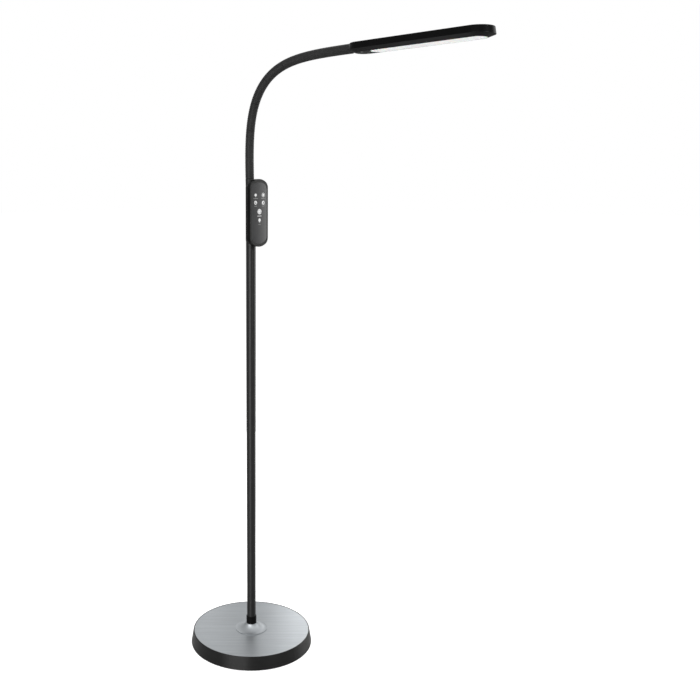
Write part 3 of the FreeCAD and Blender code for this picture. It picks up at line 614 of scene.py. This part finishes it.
# %% Ink for the symbols
def label_ink(name, shade):
    """Matt ink of one shade, a little uneven as screen print is."""
    ink, shader = new_finish(name, (shade,) * 3, 0.5)
    tint(ink, shader, add_noise(ink, 1.1 * mm), (shade * 0.93,) * 3, (shade * 1.07,) * 3)
    return ink


symbol_ink = label_ink("symbol_ink", 0.55)
print("ink", symbol_ink.name)

# %% [markdown]
# ## From flat shapes to print
# The panel bulges forward by a millimetre or so at its middle line, so flat print would sink in or
# float. Each point of a patch is put at the height of the crown instead, once on the surface and once a
# tenth of a millimetre in front of it, and the two copies are closed with a rim.

# %% Lay print on the panel
print_thickness = 0.1 * mm
weld_distance = 1e-7
panel_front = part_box("touch_panel")[1].x
panel_crown_radius = 339.8 * mm


def panel_surface(across):
    """How far forward the crowned panel lies, at a distance from its middle line."""
    return panel_front - panel_crown_radius + math.sqrt(panel_crown_radius ** 2 - across ** 2)


def print_symbol(name, patches, ink=symbol_ink):
    """Lay flat patches, given in millimetres across and up, on the panel's front."""
    bm = bmesh.new()
    for patch in patches:
        front = [bm.verts.new((panel_surface(y * mm) + print_thickness, y * mm, z * mm))
                 for y, z in patch]
        back = [bm.verts.new((panel_surface(y * mm), y * mm, z * mm)) for y, z in patch]
        bm.faces.new(front)
        bm.faces.new(back[::-1])
        for i in range(len(patch)):
            j = (i + 1) % len(patch)
            bm.faces.new((front[j], front[i], back[i], back[j]))
    bmesh.ops.remove_doubles(bm, verts=bm.verts, dist=weld_distance)
    bmesh.ops.recalc_face_normals(bm, faces=bm.faces)
    mesh = bpy.data.meshes.new(name)
    bm.to_mesh(mesh)
    bm.free()
    mesh.materials.append(ink)
    piece = bpy.data.objects.new(name, mesh)
    bpy.context.scene.collection.objects.link(piece)
    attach(piece, "root")
    return piece


print("panel front at %.2f mm" % (panel_front / mm))

# %% [markdown]
# ## The six symbols
# The symbols are generic ones, in two columns with two more on the middle line. At the top two suns, a
# small one for dimmer and a large one for brighter. Below them a clock for the timer and a half disc for
# the warmth of the light. Then the power sign, and a small lamp for the night light.

# %% Print the symbols
left_column, right_column = -10.5, 10.5
upper_row, lower_row = 956.3, 941.3
power_row, night_row = 924.0, 907.0
stroke = 1.2                     # width of a printed line

dimmer = (left_column, upper_row)
print_symbol("symbol_dimmer", disc(dimmer, 2.7) + rays(dimmer, 8, 3.1, 3.7, stroke / 2))
brighter = (right_column, upper_row)
print_symbol("symbol_brighter", disc(brighter, 2.8) + rays(brighter, 8, 3.3, 4.7, stroke))
clock = (left_column, lower_row)
print_symbol("symbol_timer", band(clock, 3.8, 2.2)
             + bar((clock[0], clock[1] + 0.8), 2.8, 1.3, 90)
             + bar((clock[0] + 0.6, clock[1]), 2.4, 1.3))
warmth = (right_column, lower_row)
print_symbol("symbol_warmth", band(warmth, 3.9, 2.4, -90, 90, 16) + disc(warmth, 3.9, 90, 270))
power = (0.0, power_row)
print_symbol("symbol_power", band(power, 5.3, 3.5) + disc(power, 2.9))
night = (0.0, night_row)
print_symbol("symbol_night_light", disc((night[0], night[1] + 0.7), 3.1)
             + bar((night[0], night[1] - 3.1), 4.4, stroke))
print("symbols printed")

# %% [markdown]
# ## The lines below the symbols
# A short plain line lies under each symbol, darker than the symbol itself. It is one bar, laid on the
# crown of the panel like the bars inside the symbols.

# %% Rule a short line under each symbol
label_grey = label_ink("label_ink", 0.13)
power_label = label_ink("power_label_ink", 0.42)
label_drop, power_label_drop, night_label_drop = 6.6, 8.6, 8.0
labels = [(dimmer, label_drop, 12.0, label_grey), (brighter, label_drop, 12.0, label_grey),
          (clock, label_drop, 6.5, label_grey), (warmth, label_drop, 5.5, label_grey),
          (power, power_label_drop, 11.5, power_label), (night, night_label_drop, 6.5, label_grey)]
for number, ((y, z), drop, width, ink) in enumerate(labels, 1):
    print_symbol("label_line_%d" % number, bar((y, z - drop), width, stroke), ink)
print(len(labels), "label lines")

# %% [markdown]
# ## The white room
# The lamp stands in a bright studio. To the camera, in reflections and through clear things the room is
# plain white. For the light that falls on the lamp it is dimmer, so nothing is washed out. The light
# path node tells these cases apart, because it knows what kind of ray is asking.

# %% White room
room = bpy.data.worlds.new("white_room")
bpy.context.scene.world = room
room.use_nodes = True
nodes, links = room.node_tree.nodes, room.node_tree.links
fill = nodes["Background"]
fill.inputs["Color"].default_value = (1, 1, 1, 1)
fill.inputs["Strength"].default_value = 0.25
seen = nodes.new("ShaderNodeBackground")
seen.inputs["Strength"].default_value = 1.0
seen.inputs["Color"].default_value = (1, 1, 1, 1)
path = nodes.new("ShaderNodeLightPath")
seen_directly = path.outputs["Is Camera Ray"]
for kind in ("Is Glossy Ray", "Is Transmission Ray"):
    either = nodes.new("ShaderNodeMath")
    either.operation = "MAXIMUM"
    links.new(seen_directly, either.inputs[0])
    links.new(path.outputs[kind], either.inputs[1])
    seen_directly = either.outputs[0]
mix = nodes.new("ShaderNodeMixShader")
links.new(seen_directly, mix.inputs["Fac"])
links.new(fill.outputs[0], mix.inputs[1])
links.new(seen.outputs[0], mix.inputs[2])
links.new(mix.outputs[0], nodes["World Output"].inputs["Surface"])
print("room fill strength %.2f" % fill.inputs["Strength"].default_value)

# %% [markdown]
# ## The floor
# The floor is plain and pale, and so wide that its far edge lies near the horizon. A matt floor alone
# would come out greyer with distance and draw a line against the room. So to the camera it is a matt
# surface with an even glow on top, which together come out as white as the room, and a shadow could
# still show in the matt part. All other rays meet an ordinary pale floor.

# %% Pale floor
floor_size = 60.0
floor_mesh = bpy.data.meshes.new("floor")
half = floor_size / 2
floor_mesh.from_pydata([(-half, -half, 0), (half, -half, 0), (half, half, 0), (-half, half, 0)], [],
                       [(0, 1, 2, 3)])
floor = bpy.data.objects.new("floor", floor_mesh)
bpy.context.scene.collection.objects.link(floor)
floor_white, shader = new_finish("floor_white", (0.85, 0.85, 0.85), 0.9)
nodes, links = floor_white.node_tree.nodes, floor_white.node_tree.links
catcher = nodes.new("ShaderNodeBsdfDiffuse")
catcher.inputs["Color"].default_value = (0.90, 0.90, 0.90, 1)
glow = nodes.new("ShaderNodeEmission")
glow.inputs["Strength"].default_value = 0.79
add = nodes.new("ShaderNodeAddShader")
path = nodes.new("ShaderNodeLightPath")
mix = nodes.new("ShaderNodeMixShader")
links.new(catcher.outputs[0], add.inputs[0])
links.new(glow.outputs[0], add.inputs[1])
links.new(path.outputs["Is Camera Ray"], mix.inputs["Fac"])
links.new(shader.outputs[0], mix.inputs[1])
links.new(add.outputs[0], mix.inputs[2])
links.new(mix.outputs[0], nodes["Material Output"].inputs["Surface"])
floor_mesh.materials.append(floor_white)
print("floor", floor_size, "m")

# %% [markdown]
# ## The lamps
# Seven soft lamps draw the black shapes. A tall one from the front left lays a soft line down the
# column, and a low one beside it does so for the side of the base. One from the right lights the other
# edge, and one overhead fills the plate. Two small ones low behind the base put light patches on the
# brushed plate, and one beyond the tip of the head lights its rounded end. Area lamps are the right
# kind here, because a shiny black thing shows the shape of the lamp itself.


# %% Soft lamps
def soft_lamp(name, place, target, width, height, power):
    """Rectangular lamp that looks at a target."""
    data = bpy.data.lights.new(name, "AREA")
    data.shape = "RECTANGLE"
    data.size = width
    data.size_y = height
    data.energy = power
    lamp = bpy.data.objects.new(name, data)
    lamp.location = place
    lamp.rotation_euler = (Vector(target) - Vector(place)).to_track_quat("-Z", "Y").to_euler()
    lamp.visible_camera = False
    bpy.context.scene.collection.objects.link(lamp)
    return lamp


middle_of_lamp = (0.1, 0, 0.65)
soft_lamp("left_front", (0.92, -2.4, 1.1), middle_of_lamp, 1.8, 2.0, 66.0)
soft_lamp("right", (1.2, 2.3, 1.0), middle_of_lamp, 1.15, 2.0, 30.0)
soft_lamp("left_low", (0.55, -1.9, 0.40), (0, 0, 0.25), 1.6, 0.6, 12.0)
soft_lamp("behind_right", (-0.28, 0.57, 0.36), (0.06, 0.06, 0.03), 0.25, 0.3, 0.95)
soft_lamp("behind_left", (-0.53, 0.32, 0.36), (-0.04, -0.04, 0.03), 0.12, 0.3, 0.15)
soft_lamp("head_end", (1.30, 0.0, 1.33), (0.52, 0, 1.2), 0.3, 0.25, 7.0)
soft_lamp("overhead", (0.2, 0.4, 2.8), middle_of_lamp, 1.6, 1.6, 9.0)
